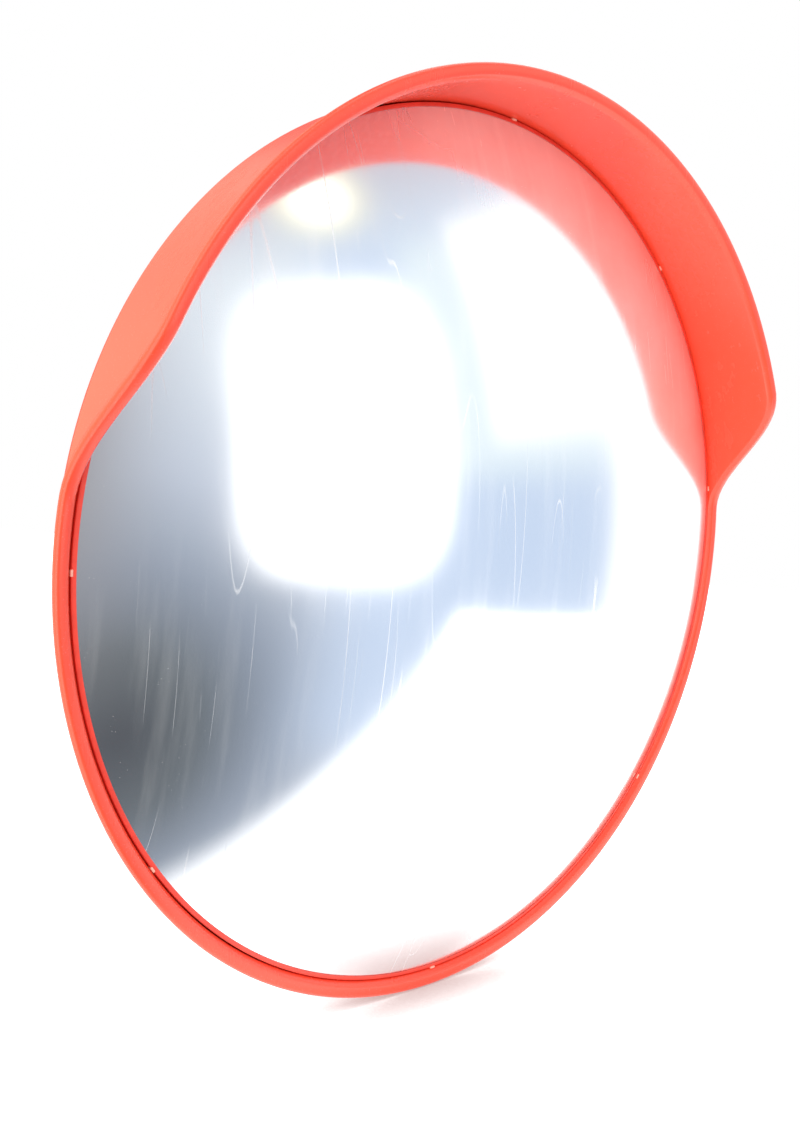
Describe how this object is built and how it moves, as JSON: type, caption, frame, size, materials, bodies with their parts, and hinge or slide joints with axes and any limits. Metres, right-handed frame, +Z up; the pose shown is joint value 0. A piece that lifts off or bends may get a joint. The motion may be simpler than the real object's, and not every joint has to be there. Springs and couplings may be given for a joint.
{
  "type": "traffic convex mirror",
  "caption": "Round convex road mirror in a hooded plastic shell on a tilting and swivelling steel bracket that clamps to a post.",
  "frame": {"origin": "centre of the post clamp's bore", "axes": "+Z up along the post, the mirror faces -Y, +X to the right of a person who faces the mirror"},
  "size_m": [0.6222, 0.2983, 0.6272],
  "materials": {
    "shell_plastic": "orange-red moulded polypropylene, semi-gloss",
    "mirror_face": "back-silvered acrylic, lightly scratched",
    "trim_plastic": "orange-red flexible vinyl edging",
    "foam_seal": "closed-cell foam, matt",
    "clip_plastic": "pale orange nylon, satin",
    "zinc_steel": "zinc-plated sheet",
    "coated_steel": "hot-dip galvanised grey",
    "fastener_steel": "bright zinc",
    "nylon": "natural nylon"
  },
  "bodies": {
    "post_clamp_body": {"clamp_front": "coated_steel", "clamp_rear": "coated_steel", "clamp_bolts": "fastener_steel", "clamp_washers": "fastener_steel", "clamp_lock_washers": "fastener_steel", "clamp_nuts": "fastener_steel"},
    "swivel": {"swivel_yoke": "coated_steel", "swivel_bolt": "fastener_steel", "swivel_washers": "fastener_steel", "swivel_friction_discs": "nylon", "swivel_lock_washer": "fastener_steel", "swivel_nut": "fastener_steel"},
    "mirror_head": {"back_shell": "shell_plastic", "mirror_dome": "mirror_face", "edge_trim": "trim_plastic", "edge_seal": "foam_seal", "mirror_clips": "clip_plastic", "backing_plate": "zinc_steel", "plate_bolts": "fastener_steel", "plate_washers": "fastener_steel", "plate_lock_washers": "fastener_steel", "plate_nuts": "fastener_steel", "tilt_bracket": "coated_steel", "tilt_bolt": "fastener_steel", "tilt_washers": "fastener_steel", "tilt_friction_discs": "nylon", "tilt_lock_washer": "fastener_steel", "tilt_nut": "fastener_steel"}
  },
  "joints": [
    {"name": "pan", "type": "hinge", "parent": "post_clamp_body", "child": "swivel", "pos_m": [0, -0.075, 0], "axis": [0, 0, 1], "range_deg": [-45, 45]},
    {"name": "tilt", "type": "hinge", "parent": "swivel", "child": "mirror_head", "pos_m": [0, -0.125, 0], "axis": [1, 0, 0], "range_deg": [-20, 20]}
  ]
}
